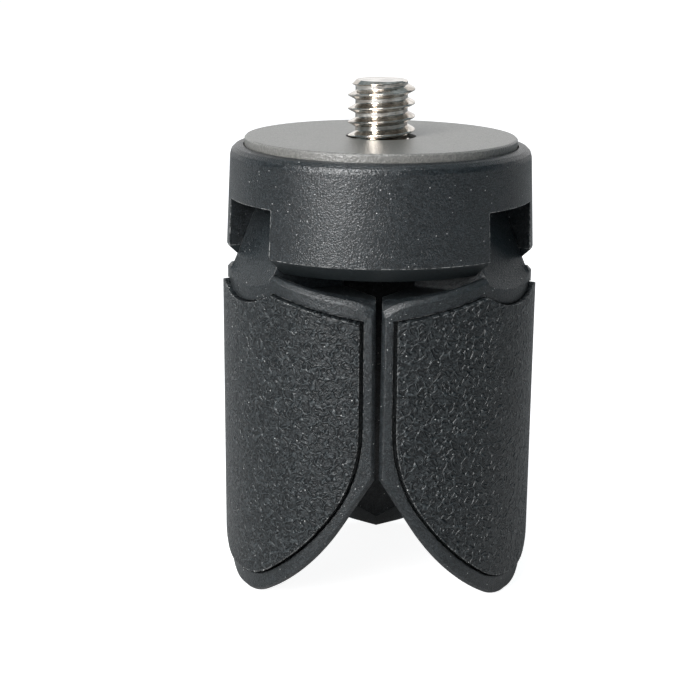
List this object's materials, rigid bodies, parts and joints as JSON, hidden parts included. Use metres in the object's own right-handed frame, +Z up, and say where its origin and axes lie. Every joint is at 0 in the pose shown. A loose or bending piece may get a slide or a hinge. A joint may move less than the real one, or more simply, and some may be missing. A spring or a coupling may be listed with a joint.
{
  "type": "mini tripod",
  "caption": "Pocket camera tripod with a round hub, a threaded mounting stud and folding petal legs with rubber grip pads, shown folded.",
  "frame": {"origin": "centre of the circle on which the three folded leg tips stand, at the level of the tips", "axes": "+Z up along the stud; the rear leg lies towards +Y and the gap between the two front legs towards -Y"},
  "size_m": [0.0298, 0.0297, 0.0477],
  "materials": {
    "hub_plastic": "fine spark-eroded matt black glass-filled nylon",
    "leg_plastic": "fine spark-eroded matt black glass-filled nylon",
    "disc_plastic": "smooth matt black friction facing",
    "grip_rubber": "black rubber with a worm-like moulded grain",
    "stud_steel": "bright turned stainless steel",
    "inner_steel": "plain turned steel",
    "screw_steel": "black oxide steel"
  },
  "bodies": {
    "hub": {"hub_housing": "hub_plastic", "base_cover": "hub_plastic", "friction_disc": "disc_plastic", "mount_stud": "stud_steel", "cover_screw": "screw_steel", "hinge_pin_left": "inner_steel", "hinge_pin_right": "inner_steel", "hinge_pin_rear": "inner_steel"},
    "leg_left": {"leg_frame_left": "leg_plastic", "grip_pad_left": "grip_rubber"},
    "leg_right": {"leg_frame_right": "leg_plastic", "grip_pad_right": "grip_rubber"},
    "leg_rear": {"leg_frame_rear": "leg_plastic", "grip_pad_rear": "grip_rubber"}
  },
  "joints": [
    {"name": "leg_left_hinge", "type": "hinge", "parent": "hub", "child": "leg_left", "pos_m": [-0.00823, -0.00475, 0.03476], "axis": [-0.5, 0.866, 0], "range_deg": [0, 66]},
    {"name": "leg_right_hinge", "type": "hinge", "parent": "hub", "child": "leg_right", "pos_m": [0.00823, -0.00475, 0.03476], "axis": [-0.5, -0.866, 0], "range_deg": [0, 66]},
    {"name": "leg_rear_hinge", "type": "hinge", "parent": "hub", "child": "leg_rear", "pos_m": [0, 0.0095, 0.03476], "axis": [1, 0, 0], "range_deg": [0, 66]}
  ]
}
